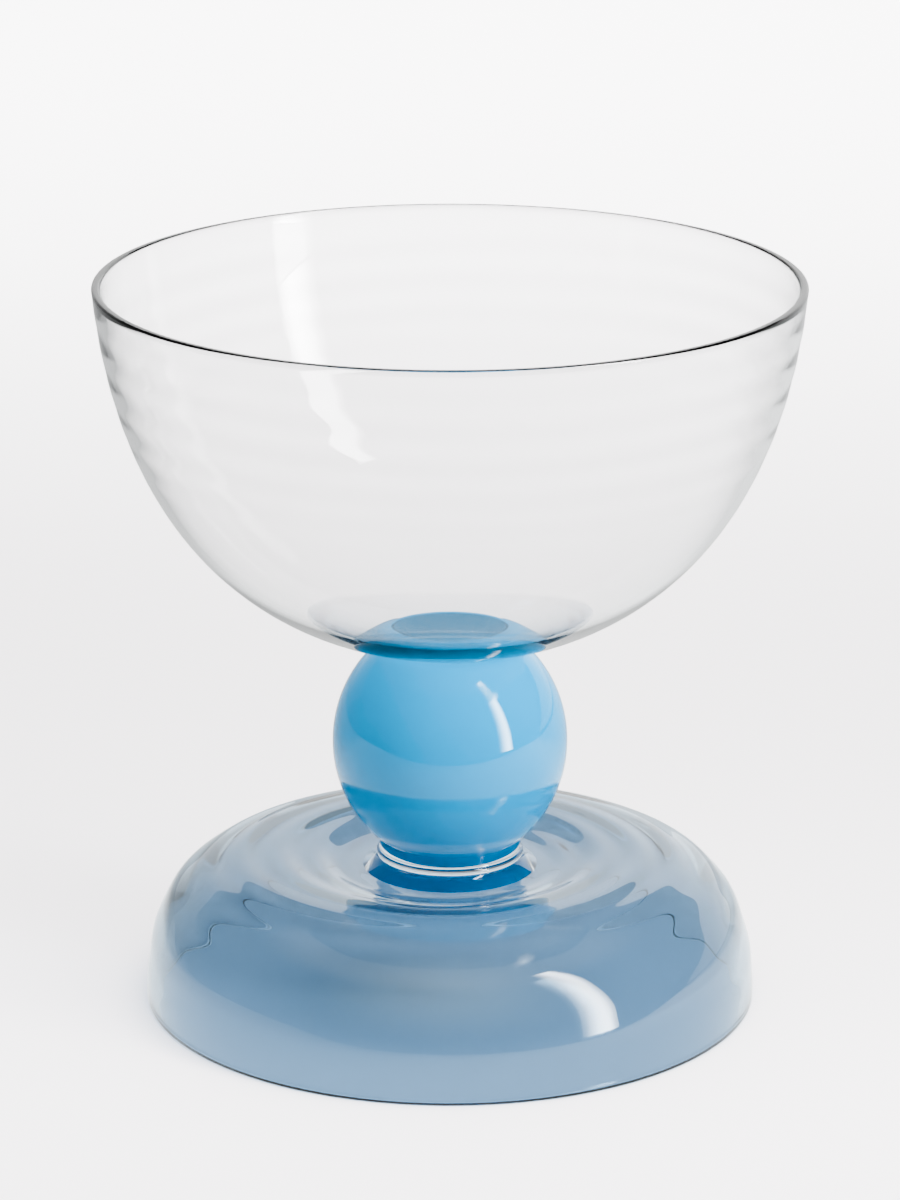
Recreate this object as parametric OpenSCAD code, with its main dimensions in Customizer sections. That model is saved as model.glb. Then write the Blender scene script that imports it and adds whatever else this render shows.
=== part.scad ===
// Hand-made martini glass: a clear bowl on a blue glass ball on a pale blue domed foot,
// with a clear glass joint above and below the ball. Every piece is turned about the Z axis.
// Millimetres, +Z up. The origin is on the table, under the middle of the foot.

/* [Bowl] */
// Outer diameter of the ground rim
rim_d = 110; // [106:1:114]
// Overall height, from the table to the rim
height = 116.3; // [114:0.1:119]
// Glass thickness at the rim
rim_wall = 1.3; // [1.1:0.1:1.6]
// Glass thickness over the joint, on the axis
bowl_base = 1.35; // [1.2:0.05:1.8]
// Diameter of the flat under the bowl that the upper joint is fused to
bowl_seat_d = 19.2; // [19:0.1:20]

/* [Ball] */
// Diameter of the ball
ball_d = 37.1; // [36.5:0.1:38]
// Height that the ball would have if it came to a full round end at the top
ball_h = 39.7; // [39:0.1:40.5]
// Height of the ball's middle above the table
ball_z = 42; // [41.8:0.1:42.3]
// Diameter of the flat on top of the ball
ball_flat_d = 18.4; // [17.4:0.2:18.8]

/* [Joints] */
// Thickness of the clear upper joint, on the axis
button_t = 0.55; // [0.45:0.05:0.7]
// Narrowest diameter of the upper joint
button_waist_d = 18.1; // [17:0.1:18.3]
// Diameter of the bead around the clear lower joint
bead_d = 23.3; // [23:0.1:24]
// Diameter of the skirt of the lower joint, where it meets the foot
skirt_d = 27.6; // [27:0.1:29]

/* [Foot] */
// Outer diameter of the foot where it stands on the table
foot_d = 97; // [94:1:100]
// Height of the foot's crown, the highest ring of the dome
crown_z = 23.3; // [22.9:0.1:24]
// Diameter of the crown ring
crown_d = 56; // [52:1:60]
// Height of the flat in the middle of the foot that the lower joint is fused to
foot_seat_z = 21.4; // [21:0.1:21.6]
// Width of the ground edge that stands on the table
foot_wall = 2; // [1.8:0.1:2.4]
// Glass thickness in the middle of the foot
foot_top_t = 2.2; // [1.8:0.1:2.6]

/* [Hidden] */
$fn = 128;

rim_r = rim_d / 2;
foot_r = foot_d / 2;
ball_rx = ball_d / 2;
ball_rz = ball_h / 2;

// upper joint: ball flat below, bowl flat above
bowl_seat_r = bowl_seat_d / 2;
bowl_seat_z = 58.45;
ball_flat_r = ball_flat_d / 2;
ball_top_z = bowl_seat_z - button_t;
shoulder_deg = 49;       // elevation on the ball where its rounded shoulder starts

// lower joint: the cup of clear glass that holds the ball
grip_deg = -52.8;        // elevation on the ball of the cup's upper edge
bead_z = 23.6;           // height of the middle of the bead
bead_r = bead_d / 2;
bead_round = 0.75;       // radius of the bead's round edge
skirt_r = skirt_d / 2;
neck_over_bead = 0.3;    // how far the glass is drawn in above and below the bead

// a cubic curve through p[0] and p[3], pulled by p[1] and p[2]
function bezier(p, u) =
    pow(1 - u, 3) * p[0] + 3 * u * pow(1 - u, 2) * p[1] + 3 * u * u * (1 - u) * p[2] + pow(u, 3) * p[3];
function curve(p, n) = [for (i = [0:n]) bezier(p, i / n)];
function reversed(list) = [for (i = [len(list) - 1:-1:0]) list[i]];
function after_first(list) = [for (i = [1:len(list) - 1]) list[i]];

// a point of the ball's profile at an elevation, and the direction of its profile there
function ball_point(deg) = [ball_rx * cos(deg), ball_z + ball_rz * sin(deg)];
function ball_heading(deg) =
    let (d = [-ball_rx * sin(deg), ball_rz * cos(deg)]) d / norm(d);
function ball_arc(from, to, n) = [for (i = [0:n]) ball_point(from + (to - from) * i / n)];

// the ball's outline: the part in the cup, the open side, then the rounded shoulder
ball_in_cup = ball_arc(-90, grip_deg, 16);
ball_side = ball_arc(grip_deg, shoulder_deg, 36);
// from the shoulder of the ball to the edge of its top flat
shoulder_pull = 1.15;
shoulder = curve([
    ball_point(shoulder_deg),
    ball_point(shoulder_deg) + shoulder_pull * ball_heading(shoulder_deg),
    [ball_flat_r + shoulder_pull, ball_top_z],
    [ball_flat_r, ball_top_z],
], 8);

// the outer and the inner curve of the bowl, both from the bottom up to the rim
bowl_outer = curve([
    [bowl_seat_r, bowl_seat_z],
    [bowl_seat_r + 16.97, bowl_seat_z + 2.83],
    [rim_r - 3.88, height - 43.1],
    [rim_r, height],
], 44);
bowl_floor_z = bowl_seat_z + bowl_base;
bowl_inner = curve([
    [0, bowl_floor_z],
    [24, bowl_floor_z],
    [rim_r - rim_wall - 4.7, height - 45.1],
    [rim_r - rim_wall, height],
], 44);

// the foot: up the outside from the table to the crown, then down to the flat in the middle
crown_r = crown_d / 2;
foot_outer = curve([
    [foot_r, 0],
    [foot_r, crown_z - 4.3],
    [foot_r - 8.4, crown_z],
    [crown_r, crown_z],
], 32);
foot_dimple = curve([
    [crown_r, crown_z],
    [crown_r - 6, crown_z],
    [skirt_r + 6, foot_seat_z],
    [skirt_r, foot_seat_z],
], 12);
foot_ceiling_z = foot_seat_z - foot_top_t;
foot_inner = curve([
    [foot_r - foot_wall, 0],
    [foot_r - foot_wall, crown_z - foot_top_t - 3.2],
    [foot_r - foot_wall - 9, crown_z - foot_top_t],
    [crown_r, crown_z - foot_top_t],
], 32);
foot_inner_dimple = curve([
    [crown_r, crown_z - foot_top_t],
    [crown_r - 6, crown_z - foot_top_t],
    [skirt_r + 6, foot_ceiling_z],
    [skirt_r, foot_ceiling_z],
], 12);

// the side of the upper joint, from the ball up to the bowl, drawn in to a waist
button_side = curve([
    [ball_flat_r, ball_top_z],
    [button_waist_d / 2 - 0.05, ball_top_z + 0.3 * button_t],
    [button_waist_d / 2 + 0.05, bowl_seat_z - 0.35 * button_t],
    [bowl_seat_r, bowl_seat_z],
], 8);

// the side of the lower joint, from the foot up to the cup's edge on the ball
bead_side = [for (a = [-60:15:60]) [bead_r - bead_round + bead_round * cos(a), bead_z + bead_round * sin(a)]];
skirt_side = curve([
    [skirt_r, foot_seat_z],
    [skirt_r - 0.9, foot_seat_z + 0.4],
    [bead_r + 0.1, bead_z - 1.5],
    bead_side[0],
], 8);
collar_side = curve([
    bead_side[len(bead_side) - 1],
    [bead_r - neck_over_bead - 0.25, bead_z + 1.1],
    [bead_r - neck_over_bead - 0.1, bead_z + 1.7],
    ball_point(grip_deg),
], 6);

module turned(outline) rotate_extrude() polygon(outline);

module bowl() color([0.93, 0.95, 0.96, 0.35])
    turned(concat([[0, bowl_seat_z]], bowl_outer, reversed(bowl_inner)));

module upper_joint() color([0.90, 0.93, 0.95, 0.5])
    turned(concat([[0, ball_top_z]], button_side, [[0, bowl_seat_z]]));

module stem_ball() color([0.45, 0.73, 0.87])
    turned(concat(ball_in_cup, after_first(ball_side), after_first(shoulder), [[0, ball_top_z]]));

module lower_joint() color([0.80, 0.86, 0.90, 0.5])
    turned(concat(
        [[0, foot_seat_z]], skirt_side, after_first(bead_side), after_first(collar_side),
        after_first(reversed(ball_in_cup))));

module foot() color([0.56, 0.66, 0.75, 0.5])
    turned(concat(
        [[0, foot_seat_z]], reversed(foot_dimple), after_first(reversed(foot_outer)),
        foot_inner, after_first(foot_inner_dimple), [[0, foot_ceiling_z]]));

bowl();
upper_joint();
stem_ball();
lower_joint();
foot();
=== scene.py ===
"""Martini glass: a clear blown bowl on a blue glass ball on a pale blue domed foot."""

from math import atan2, cos, hypot, pi, radians, sin

import bmesh
import bpy
from bpy.props import FloatProperty, FloatVectorProperty, IntProperty, PointerProperty
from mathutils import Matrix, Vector, noise
from mathutils.geometry import interpolate_bezier


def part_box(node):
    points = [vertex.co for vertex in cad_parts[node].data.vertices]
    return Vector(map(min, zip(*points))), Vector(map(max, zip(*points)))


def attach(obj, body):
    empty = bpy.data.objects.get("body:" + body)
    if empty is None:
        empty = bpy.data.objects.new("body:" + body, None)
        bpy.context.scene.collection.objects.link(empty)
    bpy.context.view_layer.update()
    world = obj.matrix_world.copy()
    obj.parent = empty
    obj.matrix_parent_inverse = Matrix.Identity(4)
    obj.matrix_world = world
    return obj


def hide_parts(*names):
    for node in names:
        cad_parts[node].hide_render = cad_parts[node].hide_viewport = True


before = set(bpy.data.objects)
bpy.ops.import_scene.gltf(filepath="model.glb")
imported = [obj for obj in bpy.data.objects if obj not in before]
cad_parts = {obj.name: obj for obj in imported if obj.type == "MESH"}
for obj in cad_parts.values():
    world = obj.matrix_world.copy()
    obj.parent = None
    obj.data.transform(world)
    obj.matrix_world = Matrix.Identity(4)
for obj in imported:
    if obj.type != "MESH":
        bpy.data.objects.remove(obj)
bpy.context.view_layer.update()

bl_info = {
    "name": "Martini glass",
    "version": (1, 0, 0),
    "blender": (4, 5, 0),
    "location": "View3D > Sidebar > Martini glass",
    "description": "Makes a blown martini glass around its packed frame, with its studio stage",
    "category": "Object",
}

MM = 0.001
RIM_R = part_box("bowl")[1][0] / MM
RIM_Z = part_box("bowl")[1][2] / MM
FOOT_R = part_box("foot")[1][0] / MM

# the seams between the pieces and the other heights and radii of the glass, in millimetres
SEAT_R, SEAT_Z = 9.6, 58.45             # the bowl on the upper joint
FLAT_R, FLAT_Z = 9.2, 57.9              # the upper joint on the ball
BALL_Z, BALL_HALF_H = 42, 19.85         # the ball's middle, and its half height if it were whole
SKIRT_R, SKIRT_Z = 13.8, 21.4           # the lower joint on the foot
CROWN_R, CROWN_Z = 28, 23.3             # the highest ring of the foot
FOOT_TOP = 2.2                          # glass thickness in the middle of the foot
BEAD_R, BEAD_Z, BEAD_ROUND = 10.9, 23.6, 0.75   # the middle and the radius of the bead's round
RIM_ROUND, EDGE_ROUND = 0.4, 0.45       # rounding of the rim's corners and of the standing edge
MELT_GAP = 0.015                        # keeps the ball's surface off the glass melted to it

# elevations on the ball, in degrees: the upper edge of its cup, and the start of its shoulder
GRIP, SHOULDER = -52.8, 49
GRIP_STEP = 0.3                         # degrees over which the ball draws in under the cup's edge

# where the curves are pulled to, in millimetres from their ends or short of their corners
SHOULDER_PULL = 1.15
SEAT_PULL_R, SEAT_PULL_Z = 16.97, 2.83  # the bowl's outside, at the seat and at the rim
RIM_PULL_R, RIM_PULL_Z = 3.88, 43.1
LIP_PULL_R, LIP_PULL_Z = 4.7, 45.1      # the bowl's inside, at the rim and in the middle
FLOOR_PULL_R = 24
WAIST_LOW_R, WAIST_LOW_Z = 0.2, 0.15    # the upper joint
WAIST_HIGH_R, WAIST_HIGH_Z = 0.1, 0.2
FLARE_R, FLARE_Z = 0.9, 0.4             # the lower joint's skirt
UNDER_BEAD, OVER_BEAD, UNDER_CUP = (11.75, 22.1), (11.1, 24.7), (11.25, 25.3)
FOOT_PULL_R, FOOT_PULL_Z = 8.4, 4.3     # the foot's outside
HOLLOW_PULL_R, HOLLOW_PULL_Z = 9, 3.2   # the foot's inside
DIMPLE_PULL_R = 6

# the spiral waves: their swell along the outside, from the joint to the edge; then the distance
# from turn to turn, the angle they start at in degrees, and the share left in front and behind
BOWL_SWELL, BOWL_TURNS = ((54, 0), (66, 1), (76, 1), (79, 0)), (4.6, 0, 0.8)
FOOT_SWELL = (14.5, 0), (18, 1), (34, 1), (42, 0.5), (53, 0.5), (57, 0)
FOOT_TURNS = (6.0, 100, 0.08)

# how quickly the waves change round the glass and along it, and by how much
PATCHES_ROUND, PATCHES_ALONG, PATCHES = 1.7, 0.12, 0.5
DRIFT_ROUND, DRIFT_ALONG, DRIFT = 0.9, 0.05, 1.2

SAME_POINT, SAME_HEIGHT = 1e-7, 1e-6    # metres
ON_BALL = 0.004                         # how nearly the middle of a face fits the ball's equation
CREASE = 32                             # degrees from which an edge is sharp
UNDER_BOWL_PAINTED_SHADE = 0.4                        # brightness left in the ball's blue under the bowl, as painted shade


# ---------------------------------------------------------------- sizes and colours

class GlassSizes(bpy.types.PropertyGroup):
    rim_wall: FloatProperty(
        name="Rim wall", description="Glass thickness at the lip",
        default=1.3 * MM, min=1 * MM, max=2 * MM, precision=4, unit="LENGTH")
    bowl_base: FloatProperty(
        name="Bowl base", description="Glass thickness in the middle of the bowl",
        default=1.35 * MM, min=1 * MM, max=4 * MM, precision=4, unit="LENGTH")
    ball_radius: FloatProperty(
        name="Ball radius", description="Half the width of the ball",
        default=18.55 * MM, min=15 * MM, max=22 * MM, precision=4, unit="LENGTH")
    foot_wall: FloatProperty(
        name="Foot edge", description="Width of the edge that stands on the table",
        default=2 * MM, min=1 * MM, max=3 * MM, precision=4, unit="LENGTH")
    segments: IntProperty(
        name="Segments", description="Faces round each turned piece",
        default=192, min=48, max=256)
    bowl_wave: FloatProperty(
        name="Bowl waves", description="Height of the tool waves in the bowl",
        default=0.035 * MM, min=0, max=0.3 * MM, precision=6, unit="LENGTH")
    foot_wave: FloatProperty(
        name="Foot waves", description="Height of the tool waves in the foot",
        default=0.16 * MM, min=0, max=0.5 * MM, precision=6, unit="LENGTH")


class GlassColours(bpy.types.PropertyGroup):
    clear: FloatVectorProperty(
        name="Clear glass", description="Tint of the bowl and the joints",
        subtype="COLOR", size=3, min=0, max=1, default=(0.965, 0.966, 0.968))
    pale_blue: FloatVectorProperty(
        name="Pale blue glass", description="Tint of the foot",
        subtype="COLOR", size=3, min=0, max=1, default=(0.3, 0.415, 0.515))
    opal_blue: FloatVectorProperty(
        name="Opal blue glass", description="Colour of the ball",
        subtype="COLOR", size=3, min=0, max=1, default=(0.012, 0.25, 0.475))
    index: FloatProperty(
        name="Refractive index", description="How strongly the glass bends light",
        default=1.5, min=1.3, max=1.7)


class StageSettings(bpy.types.PropertyGroup):
    floor_radius: FloatProperty(
        name="Floor radius", description="Radius of the pale floor",
        default=3.0, min=1, max=6, unit="LENGTH")
    overhead: FloatProperty(
        name="Ceiling", description="Brightness of the ceiling that the glass mirrors",
        default=0.9, min=0, max=20)
    room: FloatProperty(
        name="Room", description="Brightness of the dim room round the stage",
        default=0.22, min=0, max=2)
    strip: FloatProperty(
        name="Strip light", description="Power of the tall strip light",
        default=28.0, min=0, max=200, unit="POWER")
    lens: FloatProperty(
        name="Lens", description="Focal length", default=145.1, min=20, max=300, unit="CAMERA")


# ---------------------------------------------------------------- outlines

def point(r, z):
    """A point of an outline, from millimetres off the axis and above the table."""
    return Vector((r * MM, 0, z * MM))


def curve(a, b, c, d, steps):
    """A cubic curve from a to d, pulled by b and c."""
    return interpolate_bezier(a, b, c, d, steps + 1)


def arc(centre, radius_x, radius_z, start, end, steps):
    """Points of an ellipse's arc, between two elevations in degrees."""
    angles = [radians(start + (end - start) * i / steps) for i in range(steps + 1)]
    return [centre + Vector((radius_x * cos(a), 0, radius_z * sin(a))) for a in angles]


def rounded(r, z, radius, start, end, steps):
    """Points of a round edge, in millimetres."""
    return arc(point(r, z), radius * MM, radius * MM, start, end, steps)


def join(*parts):
    """One outline from several, without the points that they share."""
    outline = []
    for part in parts:
        for p in part:
            if not outline or (p - outline[-1]).length > SAME_POINT:
                outline.append(Vector(p))
    return outline


def below(outline, z):
    """The points of an outline under a height."""
    return [p for p in outline if p.z < z * MM]


def above(outline, z):
    """The points of an outline over a height."""
    return [p for p in outline if p.z > z * MM]


def ball_arc(sizes, start, end, steps, inset=0.0):
    """Points of the ball's side, between two elevations in degrees."""
    rx = sizes.ball_radius - inset * MM
    rz = (BALL_HALF_H - inset) * MM
    return arc(point(0, BALL_Z), rx, rz, start, end, steps)


def ball_shoulder(sizes):
    """The ball's rounded shoulder, from its side to the edge of its flat."""
    start = ball_arc(sizes, SHOULDER, SHOULDER, 1)[0]
    turn = radians(SHOULDER)
    heading = Vector((-sizes.ball_radius * sin(turn), 0, BALL_HALF_H * MM * cos(turn)))
    return curve(
        start, start + heading.normalized() * SHOULDER_PULL * MM,
        point(FLAT_R + SHOULDER_PULL, FLAT_Z), point(FLAT_R, FLAT_Z), 8)


# ---------------------------------------------------------------- meshes

def turned(outline, segments):
    """A closed solid turned round Z from an outline that starts and ends on the axis."""
    bm = bmesh.new()
    verts = [bm.verts.new(p) for p in outline]
    edges = [bm.edges.new(pair) for pair in zip(verts, verts[1:])]
    bmesh.ops.spin(
        bm, geom=verts + edges, cent=(0, 0, 0), axis=(0, 0, 1), dvec=(0, 0, 0),
        angle=2 * pi, steps=segments, use_merge=True, use_duplicate=False)
    bmesh.ops.remove_doubles(bm, verts=bm.verts, dist=SAME_POINT)
    bmesh.ops.recalc_face_normals(bm, faces=bm.faces)
    for edge in bm.edges:
        edge.smooth = edge.calc_face_angle(0) < radians(CREASE)
    for face in bm.faces:
        face.smooth = True
    return bm


def finished(bm, name, materials, slot, *nodes):
    """Makes the piece that stands for the named nodes."""
    mesh = bpy.data.meshes.new(name)
    bm.to_mesh(mesh)
    bm.free()
    for material in materials:
        mesh.materials.append(material)
    piece = bpy.data.objects.new(name, mesh)
    bpy.context.scene.collection.objects.link(piece)
    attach(piece, "root")
    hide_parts(*nodes)
    return piece


def swell(stops, s):
    """A height read off a line through the stops."""
    for (a, low), (b, high) in zip(stops, stops[1:]):
        if a <= s <= b:
            return low + (high - low) * (s - a) / (b - a)
    return 0


def ripple(bm, core_z, along, stops, pitch, start, even, wave):
    """Raises and lowers the outside in one long spiral, as turning the soft glass leaves it."""
    bm.normal_update()
    core = point(0, core_z)
    moves = []
    for v in bm.verts:
        s = along(v.co.xy.length / MM, v.co.z / MM)
        height = wave * swell(stops, s)
        if height == 0 or v.normal.dot(v.co - core) <= 0:
            continue
        way = Vector((v.co.x, v.co.y, 0)).normalized()
        height *= even + (1 - even) * way.x ** 2
        height *= 1 + PATCHES * noise.noise(way * PATCHES_ROUND + Vector((0, 0, PATCHES_ALONG * s)))
        lag = DRIFT * noise.noise(way * DRIFT_ROUND + Vector((3, 5, DRIFT_ALONG * s)))
        turn = atan2(way.y, way.x) + 2 * pi * s / pitch + radians(start) + lag
        moves.append((v, v.normal * height * sin(turn)))
    for v, move in moves:
        v.co += move


def from_seat(r, z):
    """How far a point of the bowl is from the middle of its seat."""
    return hypot(r, z - SEAT_Z)


def from_axis(r, z):
    """How far a point of the foot is from the axis, over the crown and down the side."""
    return r if r < CROWN_R else CROWN_R + hypot(r - CROWN_R, CROWN_Z - z)


def fuse(bm, z, radius):
    """Gives the flat faces that are melted to the next piece the second material."""
    for face in bm.faces:
        c = face.calc_center_median()
        if abs(c.z - z * MM) < SAME_HEIGHT and c.xy.length < radius * MM:
            face.material_index = 1


# ---------------------------------------------------------------- materials

def new_material(name):
    """A new material, with its nodes, its links, its shader and its output."""
    material = bpy.data.materials.new(name)
    material.use_nodes = True
    nodes, links = material.node_tree.nodes, material.node_tree.links
    return material, nodes, links, nodes["Principled BSDF"], nodes["Material Output"]


def waviness(nodes, links, shader, scale, strength):
    """Slow unevenness of hand-worked glass."""
    coords = nodes.new("ShaderNodeTexCoord")
    pattern = nodes.new("ShaderNodeTexNoise")
    pattern.inputs["Scale"].default_value = scale
    pattern.inputs["Detail"].default_value = 1.0
    bump = nodes.new("ShaderNodeBump")
    bump.inputs["Strength"].default_value = strength
    bump.inputs["Distance"].default_value = MM
    links.new(coords.outputs["Object"], pattern.inputs["Vector"])
    links.new(pattern.outputs["Fac"], bump.inputs["Height"])
    links.new(bump.outputs["Normal"], shader.inputs["Normal"])


def clear_glass(name, tint, index, scale, strength):
    """Glass that bends what is seen through it, and lets lamps and soft light straight through."""
    material, nodes, links, glass, out = new_material(name)
    glass.inputs["Base Color"].default_value = (*tint, 1)
    glass.inputs["Transmission Weight"].default_value = 1
    glass.inputs["Roughness"].default_value = 0
    glass.inputs["IOR"].default_value = index
    waviness(nodes, links, glass, scale, strength)
    path = nodes.new("ShaderNodeLightPath")
    soft = nodes.new("ShaderNodeMath")
    soft.operation = "MAXIMUM"
    passing = nodes.new("ShaderNodeBsdfTransparent")
    passing.inputs["Color"].default_value = (*[t ** 0.5 for t in tint], 1)
    mix = nodes.new("ShaderNodeMixShader")
    links.new(path.outputs["Is Shadow Ray"], soft.inputs[0])
    links.new(path.outputs["Is Diffuse Ray"], soft.inputs[1])
    links.new(soft.outputs[0], mix.inputs[0])
    links.new(glass.outputs[0], mix.inputs[1])
    links.new(passing.outputs[0], mix.inputs[2])
    links.new(mix.outputs[0], out.inputs["Surface"])
    return material


def melted_face(name):
    """The face where two pieces are melted together: light goes straight on."""
    material, nodes, links, glass, out = new_material(name)
    nodes.remove(glass)
    passing = nodes.new("ShaderNodeBsdfTransparent")
    links.new(passing.outputs[0], out.inputs["Surface"])
    return material


def opal_glass(name, colour, index, gloss=0.5):
    """Opaque blue glass with a faint cloudiness."""
    material, nodes, links, glass, _ = new_material(name)
    coords = nodes.new("ShaderNodeTexCoord")
    cloud = nodes.new("ShaderNodeTexNoise")
    cloud.inputs["Scale"].default_value = 40
    cloud.inputs["Detail"].default_value = 2
    ramp = nodes.new("ShaderNodeValToRGB")
    for stop, share in zip(ramp.color_ramp.elements, (0.97, 1.03)):
        stop.color = (*[min(1, c * share) for c in colour], 1)
    links.new(coords.outputs["Object"], cloud.inputs["Vector"])
    links.new(cloud.outputs["Fac"], ramp.inputs["Fac"])
    links.new(ramp.outputs["Color"], glass.inputs["Base Color"])
    glass.inputs["Roughness"].default_value = 0.0
    glass.inputs["IOR"].default_value = index
    glass.inputs["Specular IOR Level"].default_value = gloss
    return material


# ---------------------------------------------------------------- makers of the pieces

class MARTINI_OT_bowl(bpy.types.Operator):
    """Make the clear bowl"""
    bl_idname = "martini.bowl"
    bl_label = "Bowl"

    def execute(self, context):
        s, c = context.scene.martini_sizes, context.scene.martini_colours
        wall = s.rim_wall / MM
        floor_z = SEAT_Z + s.bowl_base / MM
        inside_r, top_z = RIM_R - wall, RIM_Z - RIM_ROUND
        outer = curve(point(SEAT_R, SEAT_Z), point(SEAT_R + SEAT_PULL_R, SEAT_Z + SEAT_PULL_Z),
                      point(RIM_R - RIM_PULL_R, RIM_Z - RIM_PULL_Z), point(RIM_R, RIM_Z), 110)
        inner = curve(point(inside_r, RIM_Z), point(inside_r - LIP_PULL_R, RIM_Z - LIP_PULL_Z),
                      point(FLOOR_PULL_R, floor_z), point(0, floor_z), 110)
        outer, inner = below(outer, top_z), below(inner, top_z)
        rim = (rounded(RIM_R - RIM_ROUND, top_z, RIM_ROUND, 8, 90, 6)
               + rounded(inside_r + RIM_ROUND, top_z, RIM_ROUND, 90, 172, 6))
        bm = turned(join([point(0, SEAT_Z)], outer, rim, inner), s.segments)
        fuse(bm, SEAT_Z, SEAT_R)
        ripple(bm, RIM_Z, from_seat, BOWL_SWELL, *BOWL_TURNS, s.bowl_wave)
        finished(bm, "blown_bowl", [
            clear_glass("Clear bowl glass", c.clear, c.index, scale=30, strength=0.02),
            melted_face("Bowl melted face")], "clear_glass", "bowl")
        return {"FINISHED"}


class MARTINI_OT_upper_joint(bpy.types.Operator):
    """Make the clear button between the ball and the bowl"""
    bl_idname = "martini.upper_joint"
    bl_label = "Upper joint"

    def execute(self, context):
        s, c = context.scene.martini_sizes, context.scene.martini_colours
        side = curve(point(FLAT_R, FLAT_Z), point(FLAT_R - WAIST_LOW_R, FLAT_Z + WAIST_LOW_Z),
                     point(FLAT_R - WAIST_HIGH_R, SEAT_Z - WAIST_HIGH_Z), point(SEAT_R, SEAT_Z), 10)
        bm = turned(join([point(0, FLAT_Z)], side, [point(0, SEAT_Z)]), s.segments)
        fuse(bm, SEAT_Z, SEAT_R)
        fuse(bm, FLAT_Z, FLAT_R)
        finished(bm, "upper_button", [
            clear_glass("Clear button glass", c.clear, c.index, scale=60, strength=0.02),
            melted_face("Button melted face")], "clear_glass", "upper_joint")
        return {"FINISHED"}


class MARTINI_OT_ball(bpy.types.Operator):
    """Make the blue ball"""
    bl_idname = "martini.ball"
    bl_label = "Ball"

    def execute(self, context):
        s, c = context.scene.martini_sizes, context.scene.martini_colours
        low = ball_arc(s, -90, GRIP - GRIP_STEP, 40, MELT_GAP)
        side = ball_arc(s, GRIP, SHOULDER, 70)
        top = [p - Vector((0, 0, MELT_GAP * MM)) for p in ball_shoulder(s)[1:]]
        bm = turned(join(low, side, top, [point(0, FLAT_Z - MELT_GAP)]), s.segments)
        cup_z = BALL_Z + BALL_HALF_H * sin(radians(GRIP))
        for face in bm.faces:
            middle = face.calc_center_median()
            r, z = middle.xy.length / MM, middle.z / MM
            if z < cup_z:
                face.material_index = 1
            elif z > FLAT_Z - 2 * MELT_GAP and r < FLAT_R:
                face.material_index = 2
        # a darker copy of the blue for the ball's flat under the bowl: painted shade
        painted_shade_blue = [UNDER_BOWL_PAINTED_SHADE * v for v in c.opal_blue]
        finished(bm, "blue_ball", [
            opal_glass("Opal blue glass", c.opal_blue, c.index),
            opal_glass("Opal blue glass in the cup", c.opal_blue, index=1.0, gloss=0.0),
            opal_glass("Opal blue glass with painted shade under the bowl", painted_shade_blue, index=1.0, gloss=0.0)],
            "blue_glass", "stem_ball")
        return {"FINISHED"}


class MARTINI_OT_lower_joint(bpy.types.Operator):
    """Make the clear cup and bead that hold the ball on the foot"""
    bl_idname = "martini.lower_joint"
    bl_label = "Lower joint"

    def execute(self, context):
        s, c = context.scene.martini_sizes, context.scene.martini_colours
        bead = rounded(BEAD_R, BEAD_Z, BEAD_ROUND, -60, 60, 12)
        skirt = curve(point(SKIRT_R, SKIRT_Z), point(SKIRT_R - FLARE_R, SKIRT_Z + FLARE_Z),
                      point(*UNDER_BEAD), bead[0], 12)
        cup = ball_arc(s, GRIP, -90, 40)
        collar = curve(bead[-1], point(*OVER_BEAD), point(*UNDER_CUP), cup[0], 10)
        bm = turned(join([point(0, SKIRT_Z)], skirt, bead, collar, cup), s.segments)
        fuse(bm, SKIRT_Z, SKIRT_R)
        for face in bm.faces:
            m = face.calc_center_median()
            fit = (m.xy.length / s.ball_radius) ** 2 + ((m.z / MM - BALL_Z) / BALL_HALF_H) ** 2
            if abs(fit - 1) < ON_BALL and face.normal.z > 0:
                face.material_index = 1
        finished(bm, "lower_bead", [
            clear_glass("Clear bead glass", c.clear, c.index, scale=60, strength=0.02),
            melted_face("Bead melted face")], "clear_glass", "lower_joint")
        return {"FINISHED"}


class MARTINI_OT_foot(bpy.types.Operator):
    """Make the pale blue domed foot"""
    bl_idname = "martini.foot"
    bl_label = "Foot"

    def execute(self, context):
        s, c = context.scene.martini_sizes, context.scene.martini_colours
        inside_r = FOOT_R - s.foot_wall / MM
        under_z, ceiling_z = CROWN_Z - FOOT_TOP, SKIRT_Z - FOOT_TOP
        outer = curve(point(CROWN_R, CROWN_Z), point(FOOT_R - FOOT_PULL_R, CROWN_Z),
                      point(FOOT_R, CROWN_Z - FOOT_PULL_Z), point(FOOT_R, 0), 90)
        inner = curve(point(inside_r, 0), point(inside_r, under_z - HOLLOW_PULL_Z),
                      point(inside_r - HOLLOW_PULL_R, under_z), point(CROWN_R, under_z), 90)
        dimple = curve(point(SKIRT_R, SKIRT_Z), point(SKIRT_R + DIMPLE_PULL_R, SKIRT_Z),
                       point(CROWN_R - DIMPLE_PULL_R, CROWN_Z), point(CROWN_R, CROWN_Z), 30)
        inner_dimple = curve(point(CROWN_R, under_z), point(CROWN_R - DIMPLE_PULL_R, under_z),
                             point(SKIRT_R + DIMPLE_PULL_R, ceiling_z), point(SKIRT_R, ceiling_z), 30)
        edge = (rounded(FOOT_R - EDGE_ROUND, EDGE_ROUND, EDGE_ROUND, 0, -90, 5)
                + rounded(inside_r + EDGE_ROUND, EDGE_ROUND, EDGE_ROUND, -90, -180, 5))
        bm = turned(join(
            [point(0, SKIRT_Z)], dimple, above(outer, EDGE_ROUND), edge, above(inner, EDGE_ROUND),
            inner_dimple, [point(0, ceiling_z)]), s.segments)
        fuse(bm, SKIRT_Z, SKIRT_R)
        ripple(bm, 0, from_axis, FOOT_SWELL, *FOOT_TURNS, s.foot_wave)
        finished(bm, "domed_foot", [
            clear_glass("Pale blue foot glass", c.pale_blue, c.index, scale=30, strength=0.03),
            melted_face("Foot melted face")], "pale_blue_glass", "foot")
        return {"FINISHED"}
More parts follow.
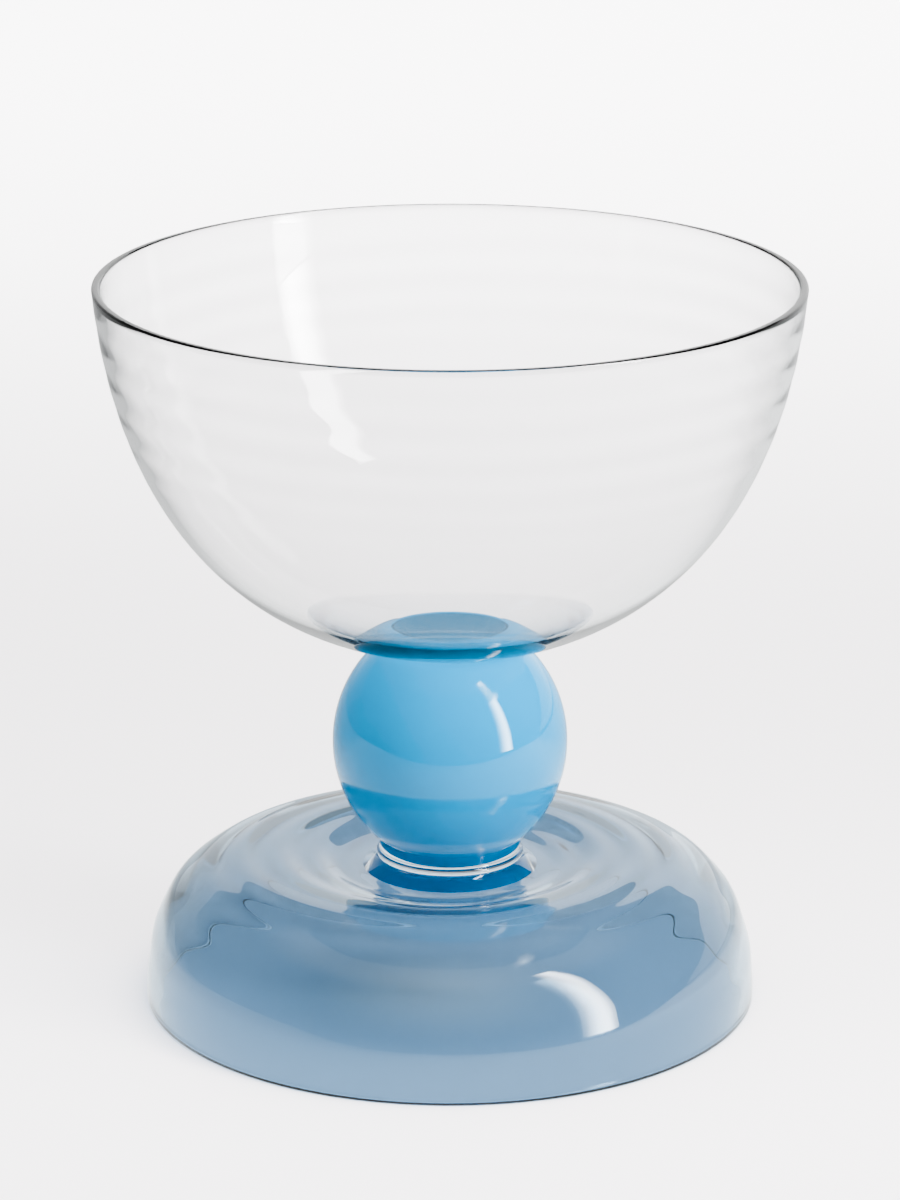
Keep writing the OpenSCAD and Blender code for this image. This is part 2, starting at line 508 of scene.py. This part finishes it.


# ---------------------------------------------------------------- the stage

# painted light and shade in the paper's colour, and the paper's painted glow, as distance behind the
# glass in metres and brightness
FLOOR_REACH = 3.0
PAPER_PAINTED_LIGHT_AND_SHADE = ((-3, 0.78), (-0.35, 0.78), (-0.12, 0.86), (-0.05, 0.95), (0.0, 0.88), (0.1, 0.78),
               (0.2, 0.8), (0.3, 0.85), (0.42, 0.9), (3, 0.9))
PAPER_PAINTED_GLOW = ((-3, 1.75), (-0.9, 1.6), (-0.35, 0.2), (-0.1, 0), (0.2, 0), (0.3, 0.2), (0.42, 0.6),
              (0.53, 1.05), (0.7, 1.5), (0.9, 1.75), (3, 1.75))
GLOW_MAX = 2.0
UNDER_BALL_PAINTED_GLOW = 0.3               # painted glow on the paper under the ball, lifting the ball's shadow there
UNDER_BALL_GLOW_REACH = (0.004, 0.024)   # metres from the middle where it starts to fade and is gone

# the painted glow of a lit table, as the glass mirrors it: its front edge and its half width
TABLE_EDGE, TABLE_SIDE = -0.32, 0.9
TABLE_TINT = (0.97, 0.99, 1, 1)
FRONT_BLUR, SIDE_BLUR = 0.004, 0.005

# ramps, each given as from here, to there, and the brightness at both
TABLE_ACROSS = (-0.24, 0.3, 1.0, 2.1)
TABLE_FRONT, TABLE_BACK = (TABLE_EDGE, -0.02, 0.85, 1.15), (0.02, 0.14, 1, 0.5)
BACKDROP_LEFT, BACKDROP_RIGHT = (-0.9, 0.4, 0.3, 2.0), (0.3, 1, 1, 0.6)
STRIP_LEFT, STRIP_RIGHT = (0, 0.7, 0.1, 1.35), (0.75, 1, 1, 0.35)
CEILING_RISE = (0.70, 0.90)       # height of a direction where the ceiling starts and is full
BACKDROP_LEAN, BACKDROP_EDGE = (0, 0.7, -1), (0.115, 0.125, 0, 1)
LOW_LOOK = (0.2, 0.4, 1, 0)       # height of a direction up to which the glass shows pale surroundings

ANY_BOUNCE, TWO_BOUNCES = 0.5, 1.5      # limits between whole numbers of bounces

ROOM_TINT = (0.98, 0.985, 0.99, 1)
PALE_TINT, PALE_STRENGTH = (1, 0.98, 0.985, 1), 3.1
INNER_SHARE = 0.4                 # how much of the room is left in a mirror image inside the glass

CAMERA_PLACE, CAMERA_TILT = (0, -0.7234, 0.2899), 0.30129531
STRIP_PLACE, STRIP_SIZE = (0.83, -0.56, 0.86), (0.26, 1.7)
OVERHEAD_PLACE, OVERHEAD_SIZE = (0.2, -0.1, 1.3), 1.2
OVERHEAD_POWER, OVERHEAD_TINT = 26.5, (1, 0.94, 0.97)


def ramped(nodes, links, value, low, high, to_low, to_high, smooth=True):
    """A value eased from one range to another."""
    node = nodes.new("ShaderNodeMapRange")
    node.interpolation_type = "SMOOTHSTEP" if smooth else "LINEAR"
    limits = {"From Min": low, "From Max": high, "To Min": to_low, "To Max": to_high}
    for key, number in limits.items():
        node.inputs[key].default_value = number
    links.new(value, node.inputs["Value"])
    return node.outputs["Result"]


def worked_out(nodes, links, operation, a, b):
    """A Math node on two sockets or numbers."""
    node = nodes.new("ShaderNodeMath")
    node.operation = operation
    for socket, value in zip(node.inputs, (a, b)):
        if isinstance(value, (int, float)):
            socket.default_value = value
        else:
            links.new(value, socket)
    return node.outputs[0]


def split_up(nodes, links, vector):
    """The X, Y and Z of a vector."""
    split = nodes.new("ShaderNodeSeparateXYZ")
    links.new(vector, split.inputs[0])
    return split.outputs["X"], split.outputs["Y"], split.outputs["Z"]


def tones(nodes, links, value, stops, top):
    """Greys of painted light and shade laid along the floor from front to back."""
    share = ramped(nodes, links, value, -FLOOR_REACH, FLOOR_REACH, 0, 1, smooth=False)
    node = nodes.new("ShaderNodeValToRGB")
    node.color_ramp.interpolation = "B_SPLINE"
    ramp = node.color_ramp.elements
    ramp[0].position, ramp[-1].position = 0, 1
    for y, _ in stops[1:-1]:
        ramp.new((y + FLOOR_REACH) / (2 * FLOOR_REACH))
    for stop, (_, tone) in zip(ramp, stops):
        stop.color = (*[tone / top] * 3, 1)
    links.new(share, node.inputs["Fac"])
    return node.outputs["Color"]


def make_paper(nodes, links, paper, coords, back):
    """The pale paper, with painted light and shade in its colour, and a painted glow that lifts it far
    away and under the ball.
    """
    paper.inputs["Roughness"].default_value = 0.9
    paper.inputs["Specular IOR Level"].default_value = 0.1
    # the paper's colour carries painted light and shade, lighter and darker from front to back
    links.new(tones(nodes, links, back, PAPER_PAINTED_LIGHT_AND_SHADE, 1), paper.inputs["Base Color"])
    spread = nodes.new("ShaderNodeVectorMath")
    spread.operation = "LENGTH"
    links.new(coords, spread.inputs[0])
    # painted glow under the ball that lifts its shadow on the paper
    painted_lift_under_ball = ramped(
        nodes, links, spread.outputs["Value"], *UNDER_BALL_GLOW_REACH, UNDER_BALL_PAINTED_GLOW / GLOW_MAX, 0)
    # painted glow: the paper lights itself far in front and far behind
    far = tones(nodes, links, back, PAPER_PAINTED_GLOW, GLOW_MAX)
    links.new(worked_out(nodes, links, "ADD", far, painted_lift_under_ball), paper.inputs["Emission Color"])
    paper.inputs["Emission Strength"].default_value = GLOW_MAX


def make_mirrored_table_glow(nodes, links, room, across, back):
    """A painted glow that the glass mirrors: a table brighter to the right as if lit from there, with
    the dim room past its edges.
    """
    table = nodes.new("ShaderNodeEmission")
    lit = ramped(nodes, links, across, *TABLE_ACROSS)
    depth = worked_out(
        nodes, links, "MULTIPLY",
        ramped(nodes, links, back, *TABLE_FRONT), ramped(nodes, links, back, *TABLE_BACK))
    off_middle = worked_out(nodes, links, "ABSOLUTE", across, 0)
    inside = worked_out(
        nodes, links, "MULTIPLY",
        ramped(nodes, links, back, TABLE_EDGE - FRONT_BLUR, TABLE_EDGE + FRONT_BLUR, 0, 1),
        ramped(nodes, links, off_middle, TABLE_SIDE - SIDE_BLUR, TABLE_SIDE + SIDE_BLUR, 1, 0))
    spread = worked_out(nodes, links, "MULTIPLY", lit, depth)
    light = worked_out(nodes, links, "MULTIPLY", spread, inside)
    links.new(worked_out(nodes, links, "MAXIMUM", light, room), table.inputs["Strength"])
    table.inputs["Color"].default_value = TABLE_TINT
    return table


def make_floor(s):
    """The pale floor, and the painted glow of a table that stands in for it in the glass's mirror
    images.
    """
    bm = bmesh.new()
    bmesh.ops.create_circle(bm, cap_ends=True, segments=96, radius=s.floor_radius)
    mesh = bpy.data.meshes.new("floor")
    bm.to_mesh(mesh)
    bm.free()
    floor = bpy.data.objects.new("floor", mesh)
    bpy.context.scene.collection.objects.link(floor)
    material, nodes, links, paper, out = new_material("Pale paper")
    coords = nodes.new("ShaderNodeTexCoord").outputs["Object"]
    across, back, _ = split_up(nodes, links, coords)
    make_paper(nodes, links, paper, coords, back)
    # painted reflection: a glowing table shows in the glass in place of the paper
    table = make_mirrored_table_glow(nodes, links, s.room, across, back)
    path = nodes.new("ShaderNodeLightPath")
    in_glass = worked_out(
        nodes, links, "MULTIPLY",
        worked_out(nodes, links, "GREATER_THAN", path.outputs["Glossy Depth"], ANY_BOUNCE),
        worked_out(nodes, links, "LESS_THAN", path.outputs["Diffuse Depth"], ANY_BOUNCE))
    mix = nodes.new("ShaderNodeMixShader")
    links.new(in_glass, mix.inputs[0])
    links.new(paper.outputs[0], mix.inputs[1])
    links.new(table.outputs[0], mix.inputs[2])
    links.new(mix.outputs[0], out.inputs["Surface"])
    mesh.materials.append(material)


def make_room(scene, s):
    """A dim room with a brighter ceiling and a pale backdrop, seen only in the glass."""
    world = bpy.data.worlds.new("Studio")
    scene.world = world
    world.use_nodes = True
    nodes, links = world.node_tree.nodes, world.node_tree.links
    out, studio = nodes["World Output"], nodes["Background"]
    coords = nodes.new("ShaderNodeTexCoord").outputs["Generated"]
    across, _, height = split_up(nodes, links, coords)
    path = nodes.new("ShaderNodeLightPath")

    ceiling = ramped(nodes, links, height, *CEILING_RISE, s.room, s.overhead)
    backdrop = worked_out(
        nodes, links, "MULTIPLY",
        ramped(nodes, links, across, *BACKDROP_LEFT), ramped(nodes, links, across, *BACKDROP_RIGHT))
    lean = nodes.new("ShaderNodeVectorMath")
    lean.operation = "DOT_PRODUCT"
    lean.inputs[1].default_value = BACKDROP_LEAN
    links.new(coords, lean.inputs[0])
    behind = ramped(nodes, links, lean.outputs["Value"], *BACKDROP_EDGE)
    mix = nodes.new("ShaderNodeMix")
    links.new(behind, mix.inputs["Factor"])
    links.new(ceiling, mix.inputs["A"])
    links.new(backdrop, mix.inputs["B"])
    inner = worked_out(
        nodes, links, "MULTIPLY",
        worked_out(nodes, links, "GREATER_THAN", path.outputs["Glossy Depth"], ANY_BOUNCE),
        worked_out(nodes, links, "GREATER_THAN", path.outputs["Transmission Depth"], TWO_BOUNCES))
    dimmed = ramped(nodes, links, inner, 0, 1, 1, INNER_SHARE)
    strength = worked_out(nodes, links, "MULTIPLY", mix.outputs["Result"], dimmed)
    links.new(strength, studio.inputs["Strength"])
    studio.inputs["Color"].default_value = ROOM_TINT
    pale = nodes.new("ShaderNodeBackground")
    pale.inputs["Color"].default_value = PALE_TINT
    pale.inputs["Strength"].default_value = PALE_STRENGTH

    # straight through the glass, low down, the pale surroundings show as they do beside it
    bounces = worked_out(
        nodes, links, "ADD", path.outputs["Glossy Depth"], path.outputs["Diffuse Depth"])
    straight = worked_out(nodes, links, "LESS_THAN", bounces, ANY_BOUNCE)
    low = worked_out(
        nodes, links, "MULTIPLY", straight, ramped(nodes, links, height, *LOW_LOOK))
    seen_pale = worked_out(nodes, links, "MAXIMUM", path.outputs["Is Camera Ray"], low)
    seen = nodes.new("ShaderNodeMixShader")
    links.new(seen_pale, seen.inputs[0])
    links.new(studio.outputs[0], seen.inputs[1])
    links.new(pale.outputs[0], seen.inputs[2])
    links.new(seen.outputs[0], out.inputs["Surface"])


def make_lamp(name, shape, power, place):
    """An area lamp that the camera does not see."""
    light = bpy.data.lights.new(name, "AREA")
    light.shape = shape
    light.energy = power
    lamp = bpy.data.objects.new(name, light)
    lamp.location = place
    lamp.visible_camera = False
    bpy.context.scene.collection.objects.link(lamp)
    return light, lamp


def make_strip(s):
    """The tall strip light in front of the glass, to the right, soft at both long sides."""
    light, lamp = make_lamp("strip", "RECTANGLE", s.strip, STRIP_PLACE)
    light.size, light.size_y = STRIP_SIZE
    lamp.rotation_euler = (pi / 2, 0, atan2(STRIP_PLACE[0], -STRIP_PLACE[1]))
    light.use_nodes = True
    nodes, links = light.node_tree.nodes, light.node_tree.links
    across, _, _ = split_up(nodes, links, nodes.new("ShaderNodeNewGeometry").outputs["Parametric"])
    soft_sides = worked_out(
        nodes, links, "MULTIPLY",
        ramped(nodes, links, across, *STRIP_LEFT), ramped(nodes, links, across, *STRIP_RIGHT))
    links.new(soft_sides, nodes["Emission"].inputs["Strength"])


def make_overhead():
    """The wide soft light above, which the glass does not mirror."""
    light, lamp = make_lamp("overhead", "DISK", OVERHEAD_POWER, OVERHEAD_PLACE)
    light.size, light.color = OVERHEAD_SIZE, OVERHEAD_TINT
    lamp.visible_glossy = lamp.visible_transmission = False


class MARTINI_OT_stage(bpy.types.Operator):
    """Make the floor, the lights and the camera"""
    bl_idname = "martini.stage"
    bl_label = "Stage"

    def execute(self, context):
        scene, s = context.scene, context.scene.martini_stage
        make_floor(s)
        make_room(scene, s)
        make_strip(s)
        make_overhead()
        camera = bpy.data.objects.new("Camera", bpy.data.cameras.new("Camera"))
        camera.data.lens = s.lens
        camera.data.clip_end = 50
        camera.location = CAMERA_PLACE
        camera.rotation_euler = (pi / 2 - CAMERA_TILT, 0, 0)
        scene.collection.objects.link(camera)
        scene.camera = camera
        scene.view_settings.view_transform = "AgX"
        scene.view_settings.look = "AgX - High Contrast"
        scene.cycles.max_bounces = 20
        scene.cycles.transmission_bounces = 20
        scene.cycles.glossy_bounces = 8
        scene.cycles.transparent_max_bounces = 24
        return {"FINISHED"}


# ---------------------------------------------------------------- the add-on

PIECES = ("bowl", "upper_joint", "ball", "lower_joint", "foot", "stage")
GROUPS = {
    "martini_sizes": GlassSizes, "martini_colours": GlassColours, "martini_stage": StageSettings}


class MARTINI_PT_panel(bpy.types.Panel):
    """Sizes, colours and makers of the martini glass"""
    bl_label = "Martini glass"
    bl_idname = "MARTINI_PT_panel"
    bl_space_type = "VIEW_3D"
    bl_region_type = "UI"
    bl_category = "Martini glass"

    def draw(self, context):
        for piece in PIECES:
            self.layout.operator(f"martini.{piece}")
        for group in GROUPS:
            settings = getattr(context.scene, group)
            for name in settings.bl_rna.properties.keys():
                if name not in {"rna_type", "name"}:
                    self.layout.prop(settings, name)


CLASSES = (*GROUPS.values(), MARTINI_OT_bowl, MARTINI_OT_upper_joint, MARTINI_OT_ball,
           MARTINI_OT_lower_joint, MARTINI_OT_foot, MARTINI_OT_stage, MARTINI_PT_panel)


def register():
    """Adds the classes and the settings."""
    for cls in CLASSES:
        bpy.utils.register_class(cls)
    for group, cls in GROUPS.items():
        setattr(bpy.types.Scene, group, PointerProperty(type=cls))


def unregister():
    """Takes the settings and the classes away again."""
    for group in GROUPS:
        delattr(bpy.types.Scene, group)
    for cls in reversed(CLASSES):
        bpy.utils.unregister_class(cls)


def main():
    """Makes every piece and the stage."""
    register()
    for piece in PIECES:
        getattr(bpy.ops.martini, piece)()


if __name__ == "__main__":
    main()
